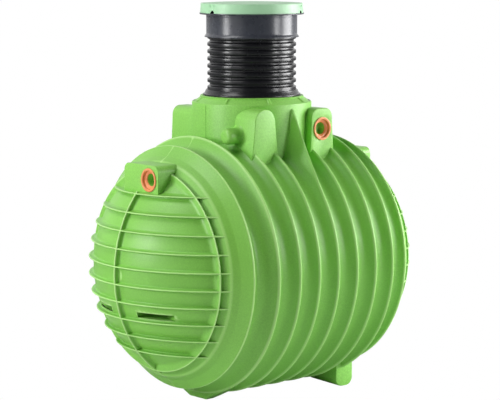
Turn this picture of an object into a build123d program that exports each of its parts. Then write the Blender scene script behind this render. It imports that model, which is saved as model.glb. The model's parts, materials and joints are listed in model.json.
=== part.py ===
from build123d import *
import os
from math import asin, cos, radians, sin, sqrt

# Buried wastewater holding tank: a ribbed plastic barrel lying along X, domed at both ends, with an
# access neck, a corrugated riser, a telescopic collar and a lid on top. It was moulded as two like
# halves that meet in the upright plane Y = 0. Millimetres, Z up. The origin is on the ground, in the
# middle of the tank and straight under the access shaft. Heights are given from the barrel's axis.

os.makedirs("parts", exist_ok=True)

# Barrel
HOOP_PITCH = 182.0  # distance from one hoop to the next along the tank
BAYS = 8  # spaces between hoops
HOOP_R = 948.0  # crest of the full hoops
NEXT_DROP = 14.0  # the hoop beside each end hoop is lower by this
END_DROP = 72.0  # and the end hoops, which carry the heads, by this
HOOP_DEPTH = 64.0  # crest to valley
CREST_FLAT = 22.0  # width of a hoop's crown
CREST_CORE = 4.0  # width of the hollow under the crown
WALL = 10.0  # moulded wall
GROUND_GAP = 35.0  # air under the full hoops
STAVE_ANGLE = 30.0  # share of the round wall in each wall panel

# Heads
HEAD_SET_BACK = 364.0  # centre of the head's sphere, from the end hoop towards mid tank
RIB_RISE = 34.0  # sphere that the rib edges lie on, over the end hoop's radius
RIB_HEIGHT = 72.0  # ribs over the domed skin
HEAD_FOOT_OUT = 109.0  # where the end hoop's flank turns into the head's cone, out from the hoop
HEAD_FOOT_DROP = 103.0
HEAD_ROOT_DROP = 226.0  # where the cone meets the domed skin, below the end hoop
RIB_PITCH = 124.6  # level ribs, one above the other
RIB_COUNT = 10
RIB_THICK = 13.0
HEAD_HOOP_OUT = 180.0  # hoop rib on the head, out from the end hoop
SEAM_THICK = 18.0  # upright fin along the seam of the halves

# Hand pocket low on each side of a head, deep by the seam and running out to the skin
POCKET_NEAR_Y = 145.0
POCKET_FAR_Y = 432.0
POCKET_DEPTH = 45.0
POCKET_Z = -268.0
POCKET_HEIGHT = 40.0

# Neck and shoulder
NECK_R = 437.0
NECK_RISE = 209.0  # neck's upper edge over the hoops
SHOULDER_R = 373.0  # inner edge of the sloping shoulder
SHOULDER_RISE = 47.0
SHAFT_R = 300.0  # clear way down the shaft
WEB_COUNT = 8  # radial webs between shallow pockets on the slope
WEB_THICK = 14.0
WEB_HEIGHT = 8.0
WEB_MARGIN = 0.14  # share of the slope left plain at either edge

# Buttresses and lifting lugs on the neck
LUG_BAYS = 1.5  # from mid tank to the valley that they stand over, counted in hoop spaces
LUG_PROUD = 27.0  # upright face, out from the neck
LUG_WIDTH = 200.0
LUG_DROP = 39.0  # top of the lug below the neck's edge
LUG_TOP_CORNER = 66.0
BUTTRESS_WIDTH = 202.0
BUTTRESS_DROP = 20.0
FLANK_DRAFT = 0.04  # how much a flank spreads on its way down
LUG_DEPTH = 300.0  # how far a lug or buttress runs in towards the seam plane
EYE_DROP = 148.0  # eye of a neck lug, below the lug's top

# Lifting lugs on the heads
HEAD_LUG_OUT = 300.0  # upright face, out from the end hoop
HEAD_LUG_HALF_WIDTH = 191.0
HEAD_LUG_DROP = 111.0  # top of the lug below the end hoop
HEAD_LUG_HEIGHT = 205.0
HEAD_LUG_CORNER = 50.0
HEAD_EYE_Y = 90.0  # eye of a head lug, from the seam plane
HEAD_EYE_DROP = 105.0

# Eyelets
EYE_FLANGE_R = 84.0
EYE_TUBE_R = 54.0
EYE_BORE_R = 41.0
EYE_PROUD = 9.0
EYE_DEPTH = 70.0
EYE_CHAMFER = 4.0

# Gusset that carries the middle hoop up the neck, and the blanked pipe nub beside the buttress
GUSSET_THICK = 16.0
GUSSET_DROP = 32.0  # its top below the neck's edge
GUSSET_BULGE = 109.0  # its edge over the hoop, half way up
GUSSET_BULGE_ANGLE = 33.3  # off the top
GUSSET_FOOT_ANGLE = 57.0
NUB_R = 58.0
NUB_REACH = 105.0
NUB_Y = 282.0
NUB_DROP = 212.0  # its axis below the neck's edge
NUB_ROUND = 28.0

# Feet
FOOT_WIDTH = 166.0
FOOT_CORNER = 60.0
REAR_FOOT_PAST_HOOP = 15.0  # middle of the rear feet, past the hoop beside the end hoop
FRONT_FOOT_BAYS = 1.5  # middle of the front foot, in from the end hoop, counted in hoop spaces
REAR_FOOT_FACE_Y = 410.0
REAR_FOOT_LENGTH = 310.0
FRONT_FOOT_LENGTH = 182.0
FOOT_RISE = 230.0

# Riser and its seal
RISER_CREST_R = 324.0
RISER_VALLEY_R = 307.0
RISER_PITCH = 52.8
RISER_PLAIN = 108.0  # from the shoulder to the lowest whole crest
RISER_CRESTS = 9
CREST_SHARE = 0.2  # half the width of a crest's flat, as a share of the pitch
VALLEY_SHARE = 0.1  # and half of a valley's
SEAL_R = 357.0
SEAL_THICK = 12.0
SOCKET_R = 344.0
SOCKET_TOP_R = 336.0
SOCKET_HEIGHT = 41.0

# Telescopic collar, lid frame and lid
SLIDE_GAP = 3.0  # collar over riser
SEAL_GAP = 0.3  # collar's wiping lip over the riser's crests
LIP_HEIGHT = 8.0
COLLAR_OVERLAP = 118.0  # collar over the riser's top
COLLAR_HEIGHT = 165.0
COLLAR_WALL = 4.6
COLLAR_LIP = 12.4  # flare of the collar's lower edge
RIM_R = 381.0
RIM_THICK = 10.0
SPIGOT_GAP = 18.0  # spigot inside the lid's skirt
SPIGOT_HEIGHT = 30.0
SPIGOT_WALL = 8.0
LID_R = 376.0
LID_DRAFT = 5.0
LID_SKIRT = 70.0
LID_CROWN = 10.0
LID_WALL = 6.0
NOTCH_R = 22.0  # finger notches in the lid's lower edge
NOTCH_COUNT = 3

HALF_LENGTH = BAYS * HOOP_PITCH / 2
AXIS_Z = HOOP_R + GROUND_GAP
END_HOOP_R = HOOP_R - END_DROP
HEAD_CENTRE_X = HALF_LENGTH - HEAD_SET_BACK
HEAD_RIB_R = END_HOOP_R + RIB_RISE
HEAD_SKIN_R = HEAD_RIB_R - RIB_HEIGHT
HEAD_FOOT_X = HALF_LENGTH + HEAD_FOOT_OUT
HEAD_ROOT_R = END_HOOP_R - HEAD_ROOT_DROP
HEAD_LUG_FACE_X = HALF_LENGTH + HEAD_LUG_OUT
HEAD_LUG_TOP = END_HOOP_R - HEAD_LUG_DROP
NECK_TOP = HOOP_R + NECK_RISE
SHOULDER_TOP = NECK_TOP + SHOULDER_RISE
LUG_FACE_Y = NECK_R + LUG_PROUD
LUG_X = LUG_BAYS * HOOP_PITCH
LUG_TOP = NECK_TOP - LUG_DROP
FAR = 4 * HOOP_R  # longer than the tank in any direction


def save(name, shape):
    """Writes one piece, raised from the barrel's axis to its height above ground."""
    export_step(Pos(0, 0, AXIS_Z) * shape, f"parts/{name}.step")


def hoop_radius(index):
    """Crest radius of a hoop, counted from the middle one."""
    from_end = BAYS // 2 - abs(index)
    return HOOP_R - {0: END_DROP, 1: NEXT_DROP}.get(from_end, 0.0)


def barrel_line(inset, crown):
    """Line of the barrel wall from front to rear: crowns of that width, with scooped valleys between."""
    edges = []
    for index in range(-BAYS // 2, BAYS // 2 + 1):
        x = index * HOOP_PITCH
        r = hoop_radius(index) - inset
        end = min(x + crown / 2, HALF_LENGTH)
        edges.append(Line((max(x - crown / 2, -HALF_LENGTH), 0, r), (end, 0, r)))
        if index < BAYS // 2:
            next_r = hoop_radius(index + 1) - inset
            valley = (x + HOOP_PITCH / 2, 0, (r + next_r) / 2 - HOOP_DEPTH)
            edges.append(ThreePointArc((end, 0, r), valley, (x + HOOP_PITCH - crown / 2, 0, next_r)))
    return edges


def spin(edges, start, sweep):
    """Turns a closed outline of X and radius about the barrel's axis, from an angle off the top."""
    return Rot(X=start) * revolve(make_face(edges), axis=Axis.X, revolution_arc=sweep)


def upright(radius, low, high):
    """Upright cylinder on the shaft's axis between two heights."""
    return Pos(0, 0, low) * Cylinder(radius, high - low, align=(Align.CENTER, Align.CENTER, Align.MIN))


def turned(points):
    """Turns a closed outline of radius and height about the shaft's axis."""
    return revolve(make_face(Polyline(*[(r, 0, z) for r, z in points], close=True)), axis=Axis.Z)


def half_turn(shape):
    """The same piece on the other half of the tank."""
    return Rot(Z=180) * shape


def end_line(x, outer, inner):
    """Short line across the wall at one end of the barrel."""
    return Line((x, 0, outer), (x, 0, inner))


OUTER_LINE = barrel_line(0.0, CREST_FLAT)
INNER_LINE = barrel_line(WALL, CREST_CORE)
WALL_OUTLINE = OUTER_LINE + INNER_LINE
WALL_OUTLINE += [end_line(x, END_HOOP_R, END_HOOP_R - WALL) for x in (-HALF_LENGTH, HALF_LENGTH)]
SOLID_OUTLINE = OUTER_LINE + [end_line(x, END_HOOP_R, 0) for x in (-HALF_LENGTH, HALF_LENGTH)]
SOLID_OUTLINE.append(Line((-HALF_LENGTH, 0, 0), (HALF_LENGTH, 0, 0)))

# Round wall: staves counted from the top, twelve in all
STAVES = ["shoulder", "upper_side", "lower_side", "bilge", "keel"]
stave = spin(WALL_OUTLINE, 0, STAVE_ANGLE)
for number, name in enumerate(STAVES, start=1):
    save(f"right_{name}_wall", Rot(X=number * STAVE_ANGLE) * stave)
    save(f"left_{name}_wall", Rot(X=-(number + 1) * STAVE_ANGLE) * stave)

# The two staves at the top are cut by the neck and parted over the middle hoop
neck_hole = upright(NECK_R - WALL, 0, NECK_TOP)
front_space = Pos(-FAR / 2, 0, 0) * Box(FAR, FAR, FAR)
for side, start in (("right", 0), ("left", -STAVE_ANGLE)):
    crown = Rot(X=start) * stave - neck_hole
    save(f"front_{side}_crown", crown & front_space)
    save(f"rear_{side}_crown", crown - front_space)


# Heads
def skin_x(radius):
    """How far out the domed skin lies at a radius from the barrel's axis."""
    return HEAD_CENTRE_X + sqrt(HEAD_SKIN_R ** 2 - radius ** 2)


def head_outline(inset):
    """Half section of the head's wall, from the end hoop over the cone to the tip of the dome."""
    root_x = -skin_x(HEAD_ROOT_R) + inset
    mid_r = HEAD_SKIN_R * sin(asin(HEAD_ROOT_R / HEAD_SKIN_R) / 2)
    crest = Polyline((-HALF_LENGTH, 0, END_HOOP_R - inset),
                     (-HALF_LENGTH - CREST_FLAT / 2, 0, END_HOOP_R - inset),
                     (-HEAD_FOOT_X, 0, END_HOOP_R - HEAD_FOOT_DROP - inset),
                     (root_x, 0, HEAD_ROOT_R - inset))
    dome = ThreePointArc((root_x, 0, HEAD_ROOT_R - inset), (-skin_x(mid_r) + inset, 0, mid_r),
                         (-skin_x(0) + inset, 0, 0))
    return crest.edges() + dome.edges()


outer_line = head_outline(0.0)
skin_ends = [end_line(-HALF_LENGTH, END_HOOP_R, END_HOOP_R - WALL),
             Line((-skin_x(0), 0, 0), (-skin_x(0) + WALL, 0, 0))]
skin_face = make_face(outer_line + head_outline(WALL) + skin_ends)
right_skin = revolve(skin_face, axis=Axis.X, revolution_arc=180)
core_back = Polyline((-skin_x(0), 0, 0), (-HALF_LENGTH, 0, 0), (-HALF_LENGTH, 0, END_HOOP_R))
core_face = make_face(outer_line + core_back.edges())
head_core = revolve(core_face, axis=Axis.X)


def pocket(grow):
    """Wedge of the hand pocket, seen from above: deep near the seam and run out at the far end."""
    near, far = POCKET_NEAR_Y - grow, POCKET_FAR_Y + grow
    deep_x = -skin_x(POCKET_NEAR_Y) + POCKET_DEPTH + grow
    run_out_x = -skin_x(POCKET_FAR_Y) + grow
    plan = make_face(Polyline((-FAR, -near), (deep_x, -near), (run_out_x, -far), (-FAR, -far), close=True))
    return Pos(0, 0, POCKET_Z) * extrude(plan, POCKET_HEIGHT / 2 + grow, both=True)


right_skin = right_skin + (pocket(WALL) & head_core) - pocket(0.0)

# Level ribs, the hoop rib and the seam fin fill the space between the skin and the ribs' sphere
front_of_rim = Pos(-HEAD_FOOT_X - FAR / 2, 0, 0) * Box(FAR, FAR, FAR)
rib_space = (Pos(-HEAD_CENTRE_X, 0, 0) * Sphere(HEAD_RIB_R) & front_of_rim) - head_core
right_space = Pos(0, -(FAR + SEAM_THICK) / 2, 0) * Box(FAR, FAR, FAR)
rib_heights = [(i - (RIB_COUNT - 1) / 2) * RIB_PITCH for i in range(RIB_COUNT)]
plates = [Pos(0, 0, height) * Box(FAR, FAR, RIB_THICK) for height in rib_heights]
plates.append(Pos(-HALF_LENGTH - HEAD_HOOP_OUT, 0, 0) * Box(RIB_THICK, FAR, FAR))
lug_low = HEAD_LUG_TOP - HEAD_LUG_HEIGHT
lug_room = Pos(-HEAD_LUG_FACE_X, 0, lug_low + FAR / 2) * Box(FAR, 2 * HEAD_LUG_HALF_WIDTH, FAR)
right_ribs = (plates[0] + plates[1:]) & (rib_space & right_space) - lug_room
fin_face = (Pos(-HEAD_CENTRE_X, 0, 0) * Rot(X=90) * Circle(HEAD_RIB_R)) & (
    Pos(-HEAD_FOOT_X - FAR / 2, 0, 0) * Rot(X=90) * Rectangle(FAR, FAR))
seam_fin = extrude(fin_face - core_face - mirror(core_face, Plane.XY), SEAM_THICK / 2, both=True) - lug_room
right_head = right_skin + right_ribs
left_head = mirror(right_head, Plane.XZ)

# Head lug: a block with rounded shoulders, cut to sit on the skin and the end hoop
lug_face = Pos(0, lug_low) * RectangleRounded(2 * HEAD_LUG_HALF_WIDTH, 2 * HEAD_LUG_HEIGHT, HEAD_LUG_CORNER)
lug_plane = Plane((-HEAD_LUG_FACE_X, 0, 0), x_dir=(0, -1, 0), z_dir=(-1, 0, 0))
head_lug = (extrude(lug_plane * lug_face, -HEAD_LUG_OUT) & lug_room) - head_core
eye_on_head = Pos(-HEAD_LUG_FACE_X, -HEAD_EYE_Y, HEAD_LUG_TOP - HEAD_EYE_DROP) * Rot(Y=-90)
head_lug = head_lug - eye_on_head * Cylinder(EYE_TUBE_R, 2 * EYE_DEPTH)


def eyelet():
    """Eyelet pressed into a lug, its bevelled flange on the lug's face at Z = 0."""
    on_end = (Align.CENTER, Align.CENTER, Align.MIN)
    flange = Cylinder(EYE_FLANGE_R, EYE_PROUD, align=on_end)
    flange = chamfer(flange.edges().group_by(Axis.Z)[-1], EYE_CHAMFER)
    tube = Pos(0, 0, -EYE_DEPTH) * Cylinder(EYE_TUBE_R, EYE_DEPTH, align=on_end)
    return flange + tube - Cylinder(EYE_BORE_R, 4 * EYE_DEPTH)


head_eyelet = eye_on_head * eyelet()
for end, near, far in (("front", "right", "left"), ("rear", "left", "right")):
    place = Rot(Z=0 if end == "front" else 180)
    save(f"{end}_{near}_head", place * right_head)
    save(f"{end}_{far}_head", place * left_head)
    save(f"{end}_seam_fin", place * seam_fin)
    save(f"{end}_lifting_lug", place * head_lug)
    save(f"{end}_lug_eyelet", place * head_eyelet)

# Neck on the crown of the barrel
crown_solid = spin(SOLID_OUTLINE, -90, 180)
neck_core = upright(NECK_R, 0, NECK_TOP)
neck = upright(NECK_R, 0, NECK_TOP - WALL) - upright(NECK_R - WALL, 0, NECK_TOP) - crown_solid
right_neck = neck & Pos(0, -FAR / 2, 0) * Box(FAR, FAR, FAR)
save("right_neck_wall", right_neck)
save("left_neck_wall", half_turn(right_neck))


# Sloping shoulder, with radial webs left standing between shallow pockets
def on_slope(share, sunk):
    """Radius and height of a point on the slope, sunk below it."""
    return (NECK_R + (SHOULDER_R - NECK_R) * share - sunk, NECK_TOP + SHOULDER_RISE * share - sunk)


shoulder = turned([on_slope(0, 0), on_slope(1, 0), (SHAFT_R, SHOULDER_TOP), (SHAFT_R, SHOULDER_TOP - WALL),
                   (SHOULDER_R - WEB_HEIGHT, SHOULDER_TOP - WALL), (NECK_R - WALL, NECK_TOP - WALL),
                   (NECK_R, NECK_TOP - WALL)])
pockets = turned([on_slope(WEB_MARGIN, -WEB_HEIGHT), on_slope(1 - WEB_MARGIN, -WEB_HEIGHT),
                  on_slope(1 - WEB_MARGIN, WEB_HEIGHT / 2), on_slope(WEB_MARGIN, WEB_HEIGHT / 2)])
web = Pos(NECK_R / 2, 0, NECK_TOP) * Box(NECK_R, WEB_THICK, 4 * SHOULDER_RISE)
webs = [Rot(Z=(i + 0.5) * 360 / WEB_COUNT) * web for i in range(WEB_COUNT)]
save("neck_shoulder", shoulder - (pockets - webs))


# Buttress and lifting lug beside the neck, one of each on either half
def tombstone(width, top, centre_x, corner):
    """Block with a rounded top and spread flanks, running in to the neck and down to the barrel."""
    half = width / 2
    foot = half + FLANK_DRAFT * top
    outline = Polyline((-foot, 0), (-half, top), (half, top), (foot, 0), close=True)
    face = Pos(centre_x, 0) * fillet(make_face(outline).vertices().group_by(Axis.Y)[-1], corner)
    block = extrude(Plane((0, -LUG_FACE_Y, 0), x_dir=(1, 0, 0), z_dir=(0, -1, 0)) * face, -LUG_DEPTH)
    return block - neck_core - crown_solid


buttress = tombstone(BUTTRESS_WIDTH, NECK_TOP - BUTTRESS_DROP, -LUG_X, BUTTRESS_WIDTH / 2 - WALL)
eye_on_neck = Pos(LUG_X, -LUG_FACE_Y, LUG_TOP - EYE_DROP) * Rot(X=90)
neck_lug = tombstone(LUG_WIDTH, LUG_TOP, LUG_X, LUG_TOP_CORNER)
neck_lug = neck_lug - eye_on_neck * Cylinder(EYE_TUBE_R, 2 * EYE_DEPTH)
neck_eyelet = eye_on_neck * eyelet()

# Gusset standing on the crown of the middle hoop, its edge bowed out from the neck
foot_angle = radians(GUSSET_FOOT_ANGLE)
bulge_angle = radians(GUSSET_BULGE_ANGLE)
heel_angle = asin((NECK_R - WALL) / HOOP_R)


def off_top(radius, angle):
    """Point in the plane of the middle hoop at an angle from the top, on the right half."""
    return (0, -radius * sin(angle), radius * cos(angle))


gusset_top = NECK_TOP - GUSSET_DROP
gusset_edge = ThreePointArc(off_top(HOOP_R, foot_angle), off_top(HOOP_R + GUSSET_BULGE, bulge_angle),
                            (0, -NECK_R - WALL, gusset_top))
gusset_seat = ThreePointArc(off_top(HOOP_R, heel_angle), off_top(HOOP_R, (heel_angle + foot_angle) / 2),
                            off_top(HOOP_R, foot_angle))
gusset_back = Polyline((0, -NECK_R - WALL, gusset_top), (0, -NECK_R + WALL, gusset_top),
                       off_top(HOOP_R, heel_angle))
gusset_face = make_face([gusset_edge, gusset_seat] + gusset_back.edges())
gusset = extrude(gusset_face, GUSSET_THICK / 2, both=True) - neck_core

# Blanked pipe nub on the buttress's flank, lying along the tank
nub_root = LUG_X + BUTTRESS_WIDTH / 2
nub = Rot(Y=-90) * Cylinder(NUB_R, nub_root + NUB_REACH, align=(Align.CENTER, Align.CENTER, Align.MIN))
nub = fillet(nub.edges().group_by(Axis.X)[0], NUB_ROUND)
nub = Pos(0, -NUB_Y, NECK_TOP - NUB_DROP) * nub - neck_core - crown_solid - buttress
nub = nub & Pos(-LUG_X - FAR / 2, 0, 0) * Box(FAR, FAR, FAR)

for side, place in (("right", Rot(Z=0)), ("left", Rot(Z=180))):
    save(f"{side}_neck_buttress", place * buttress)
    save(f"{side}_neck_lug", place * neck_lug)
    save(f"{side}_neck_eyelet", place * neck_eyelet)
    save(f"{side}_hoop_gusset", place * gusset)
    save(f"{side}_pipe_nub", place * nub)

# Feet: two under the rear and one under the front, down to level ground
belly = spin(SOLID_OUTLINE, 4 * STAVE_ANGLE, 4 * STAVE_ANGLE)


def foot(length, x, y):
    """Foot with rounded lower corners under the belly, its middle at x and y."""
    block = Box(FOOT_WIDTH, length, FOOT_RISE, align=(Align.CENTER, Align.CENTER, Align.MIN))
    block = fillet(block.edges().filter_by(Axis.Y).group_by(Axis.Z)[0], FOOT_CORNER)
    return Pos(x, y, -AXIS_Z) * block - belly


rear_foot_x = (BAYS / 2 - 1) * HOOP_PITCH + REAR_FOOT_PAST_HOOP
rear_foot = foot(REAR_FOOT_LENGTH, rear_foot_x, -REAR_FOOT_FACE_Y + REAR_FOOT_LENGTH / 2)
save("rear_right_foot", rear_foot)
save("rear_left_foot", mirror(rear_foot, Plane.XZ))
save("front_foot", foot(FRONT_FOOT_LENGTH, -(BAYS / 2 - FRONT_FOOT_BAYS) * HOOP_PITCH, 0))

# Riser: corrugated pipe standing in its seal on the shoulder
seal_top = SHOULDER_TOP + SEAL_THICK
socket_top = SHOULDER_TOP + SOCKET_HEIGHT
save("riser_seal", turned([(SEAL_R, SHOULDER_TOP), (SEAL_R, seal_top), (SOCKET_R, seal_top),
                           (SOCKET_TOP_R, socket_top), (RISER_CREST_R, socket_top),
                           (RISER_CREST_R, SHOULDER_TOP)]))
first_crest = SHOULDER_TOP + RISER_PLAIN
riser_line = [(RISER_CREST_R, SHOULDER_TOP), (RISER_CREST_R, first_crest - (1 - CREST_SHARE) * RISER_PITCH)]
for i in range(RISER_CRESTS):
    z = first_crest + i * RISER_PITCH
    valley = z - RISER_PITCH / 2
    riser_line += [(RISER_VALLEY_R, valley - VALLEY_SHARE * RISER_PITCH),
                   (RISER_VALLEY_R, valley + VALLEY_SHARE * RISER_PITCH),
                   (RISER_CREST_R, z - CREST_SHARE * RISER_PITCH),
                   (RISER_CREST_R, z + CREST_SHARE * RISER_PITCH)]
riser_top = riser_line[-1][1]
save("riser_pipe", turned(riser_line + [(SHAFT_R, riser_top), (SHAFT_R, SHOULDER_TOP)]))

# Collar that slides over the riser, with the frame that the lid lies on
bore = RISER_CREST_R + SLIDE_GAP
wiper = RISER_CREST_R + SEAL_GAP
collar_low = riser_top - COLLAR_OVERLAP
collar_top = collar_low + COLLAR_HEIGHT
lip_top = collar_low + LIP_HEIGHT
collar_r = bore + COLLAR_WALL
save("telescopic_collar", turned([
    (wiper, collar_low), (COLLAR_LIP + collar_r, collar_low), (COLLAR_LIP + collar_r, lip_top),
    (collar_r, lip_top + 2 * LIP_HEIGHT), (collar_r, collar_top), (bore, collar_top),
    (bore, lip_top + LIP_HEIGHT), (wiper, lip_top)]))
rim_top = collar_top + RIM_THICK
spigot_r = LID_R - LID_WALL - SPIGOT_GAP
spigot_top = rim_top + SPIGOT_HEIGHT
save("lid_frame", turned([
    (bore, collar_top), (RIM_R, collar_top), (RIM_R, rim_top), (spigot_r, rim_top), (spigot_r, spigot_top),
    (spigot_r - SPIGOT_WALL, spigot_top), (spigot_r - SPIGOT_WALL, rim_top), (bore, rim_top)]))

# Lid: a domed cap with finger notches in the lower edge of its skirt
lid_high = rim_top + LID_SKIRT
lid = turned([(LID_R - LID_WALL, rim_top), (LID_R, rim_top), (LID_R - LID_DRAFT, lid_high),
              (0, lid_high + LID_CROWN), (0, lid_high + LID_CROWN - LID_WALL),
              (LID_R - LID_DRAFT - LID_WALL, lid_high - LID_WALL)])
notch = Pos(LID_R, 0, rim_top) * Rot(Y=90) * Cylinder(NOTCH_R, 4 * LID_WALL)
notches = [Rot(Z=(i + 0.5) * 360 / NOTCH_COUNT) * notch for i in range(NOTCH_COUNT)]
save("lid", lid - notches)
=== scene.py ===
import bmesh
import bpy
import json
import numpy as np
from math import acos, asin, atan2, cos, degrees, hypot, pi, radians, sin, sqrt
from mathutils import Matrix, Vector


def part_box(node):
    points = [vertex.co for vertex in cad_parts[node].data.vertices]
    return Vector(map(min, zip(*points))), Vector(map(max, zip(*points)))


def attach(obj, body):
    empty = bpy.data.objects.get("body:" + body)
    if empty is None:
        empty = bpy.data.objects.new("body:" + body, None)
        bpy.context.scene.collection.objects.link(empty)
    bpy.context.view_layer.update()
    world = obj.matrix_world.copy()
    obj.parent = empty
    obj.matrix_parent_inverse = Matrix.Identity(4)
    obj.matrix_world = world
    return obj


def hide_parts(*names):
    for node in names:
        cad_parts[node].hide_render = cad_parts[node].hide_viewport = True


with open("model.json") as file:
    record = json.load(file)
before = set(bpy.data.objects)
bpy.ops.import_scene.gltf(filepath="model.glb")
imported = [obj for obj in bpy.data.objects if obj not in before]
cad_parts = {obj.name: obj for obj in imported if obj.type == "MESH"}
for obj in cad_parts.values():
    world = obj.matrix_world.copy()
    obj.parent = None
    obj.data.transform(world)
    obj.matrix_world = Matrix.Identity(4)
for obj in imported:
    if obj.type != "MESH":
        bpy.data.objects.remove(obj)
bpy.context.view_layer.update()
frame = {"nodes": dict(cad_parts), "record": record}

bl_info = {
    "name": "Ribbed holding tank",
    "version": (1, 0, 0),
    "blender": (4, 5, 0),
    "location": "3D Viewport > Sidebar > Tank",
    "description": "Builds the moulded shell, shaft and fittings of a buried holding tank",
    "category": "Object",
}

SIDES = ("right", "left")  # the half towards -Y, then the half towards +Y
ENDS = ("front", "rear")
STAVES = ("shoulder", "upper_side", "lower_side", "bilge", "keel")


# Places read from the frame, in metres
def low(node):
    """Lowest corner of a solid."""
    return [float(v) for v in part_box(node)[0]]


def high(node):
    """Highest corner of a solid."""
    return [float(v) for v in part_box(node)[1]]


HOOP_COUNT = 9
HALF_LENGTH = high("right_upper_side_wall")[0]
HOOP_PITCH = 2 * HALF_LENGTH / (HOOP_COUNT - 1)
AXIS_Z = (low("front_right_head")[2] + high("front_right_head")[2]) / 2
HOOP_R = -low("right_upper_side_wall")[1]
END_HOOP_R = -low("front_right_head")[1]
HEAD_TIP = -low("front_seam_fin")[0]
LUG_FACE_X = -low("front_lifting_lug")[0]
LUG_HALF_WIDTH = high("front_lifting_lug")[1]
LUG_TOP = high("front_lifting_lug")[2]
LUG_BOTTOM = low("front_lifting_lug")[2]
NECK_R = high("neck_shoulder")[0]
SHOULDER_TOP = high("neck_shoulder")[2]
NECK_FACE_Y = low("right_neck_buttress")[1]


# Mesh helpers
WELD = 1e-6  # corners closer than this become one
FLAT_TURN = 0.02  # a corner that turns less than this, in radians, stays sharp
CORNER_SHARE = 0.49  # most of a stretch that the rounding of one corner takes up
SEAM_STEP = 0.1  # first and last step round the barrel, so that the painted edge highlight shows only right at the seam


def grid_faces(rows, columns, close_rows=False, close_columns=False):
    """Quads of a grid of vertices that is stored row by row."""
    faces = []
    for i in range(rows if close_rows else rows - 1):
        for j in range(columns if close_columns else columns - 1):
            a, b = i * columns + j, i * columns + (j + 1) % columns
            c, d = ((i + 1) % rows) * columns + (j + 1) % columns, ((i + 1) % rows) * columns + j
            faces.append((a, b, c, d))
    return faces


def stacked(rings, closed=False):
    """Mesh of rings with as many points each, capped at both ends or closed on itself."""
    verts = [point for ring in rings for point in ring]
    n, total = len(rings[0]), len(verts)
    faces = grid_faces(len(rings), n, closed, True)
    if not closed:
        faces += [tuple(range(n))[::-1], tuple(range(total - n, total))]
    return verts, faces


def spindle(line, place, count=72):
    """Round form about an axis, from a line of way along it and radius. place maps along, across, up."""
    turns = [2 * pi * k / count for k in range(count)]
    return stacked([[place(along, r * cos(a), r * sin(a)) for a in turns] for along, r in line])


def rounded(points, radius, step=12.0):
    """An open line with its inner corners turned into arcs. radius is one value, or one for each point."""
    radii = radius if isinstance(radius, (list, tuple)) else [radius] * len(points)
    line = [points[0]]
    for before, here, after, r in zip(points, points[1:], points[2:], radii[1:]):
        p, q, s = (np.array(v, float) for v in (before, here, after))
        u, w = (p - q), (s - q)
        lu, lw = np.linalg.norm(u), np.linalg.norm(w)
        u, w = u / lu, w / lw
        turn = pi - acos(float(np.clip(u @ w, -1, 1)))
        if turn < FLAT_TURN or r <= 0:
            line.append(tuple(q))
            continue
        reach = min(r * np.tan(turn / 2), CORNER_SHARE * lu, CORNER_SHARE * lw)
        r = reach / np.tan(turn / 2)
        middle = q + (u + w) / np.linalg.norm(u + w) * hypot(r, reach)
        count = max(2, int(degrees(turn) / step) + 1)
        start, end = q + u * reach - middle, q + w * reach - middle
        for k in range(count + 1):
            t = k / count
            v = (np.sin((1 - t) * turn) * start + np.sin(t * turn) * end) / np.sin(turn)
            line.append(tuple(middle + v))
    line.append(points[-1])
    return line


def arc_through(start, middle, end, count):
    """Points of the circle through three points of a plane, from start to end."""
    (ax, ay), (bx, by), (cx, cy) = start, middle, end
    d = 2 * (ax * (by - cy) + bx * (cy - ay) + cx * (ay - by))
    sa, sb, sc = ax * ax + ay * ay, bx * bx + by * by, cx * cx + cy * cy
    ox = (sa * (by - cy) + sb * (cy - ay) + sc * (ay - by)) / d
    oy = (sa * (cx - bx) + sb * (ax - cx) + sc * (bx - ax)) / d
    r = hypot(ax - ox, ay - oy)
    angles = np.unwrap([atan2(y - oy, x - ox) for x, y in (start, middle, end)])
    steps = np.linspace(angles[0], angles[2], count + 1)
    return [(float(ox + r * cos(a)), float(oy + r * sin(a))) for a in steps]


def outward(piece):
    """Turns the faces of a closed mesh outward."""
    mesh = bmesh.new()
    mesh.from_mesh(piece.data)
    bmesh.ops.remove_doubles(mesh, verts=mesh.verts, dist=WELD)
    bmesh.ops.recalc_face_normals(mesh, faces=mesh.faces)
    mesh.to_mesh(piece.data)
    mesh.free()


def add_piece(name, verts, faces, material, body="tank", sharp=None):
    """A new object of this mesh, in place, with its finish and the body that it rides on."""
    data = bpy.data.meshes.new(name)
    data.from_pydata([tuple(map(float, v)) for v in verts], [], faces)
    data.validate()
    piece = bpy.data.objects.new(name, data)
    bpy.context.scene.collection.objects.link(piece)
    outward(piece)
    data.materials.append(material)
    data.shade_smooth()
    if sharp:
        data.set_sharp_from_angle(angle=radians(sharp))
    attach(piece, body)
    return piece


def about_barrel(line, start, count, shape=None):
    """Turns a closed line of X and radius half way about the barrel's axis, from an angle off the top
    towards -Y. shape may move a point's radius."""
    rings = []
    for step in [0, SEAM_STEP] + list(range(1, count)) + [count - SEAM_STEP, count]:
        a = radians(start + 180 * step / count)
        radii = [shape(j, x, r, a) if shape else r for j, (x, r) in enumerate(line)]
        rings.append([(x, -r * sin(a), AXIS_Z + r * cos(a)) for (x, _), r in zip(line, radii)])
    return stacked(rings)


def about_shaft(line, start=0.0, sweep=360.0, count=144, shape=None):
    """Turns a closed line of radius and height about the upright axis. shape may move each point."""
    full = sweep >= 360
    rings = []
    for k in range(count if full else count + 1):
        a = radians(start + sweep * k / count)
        moved = [shape(r, z, a) for r, z in line] if shape else line
        rings.append([(r * cos(a), r * sin(a), z) for r, z in moved])
    return stacked(rings, full)


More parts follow.
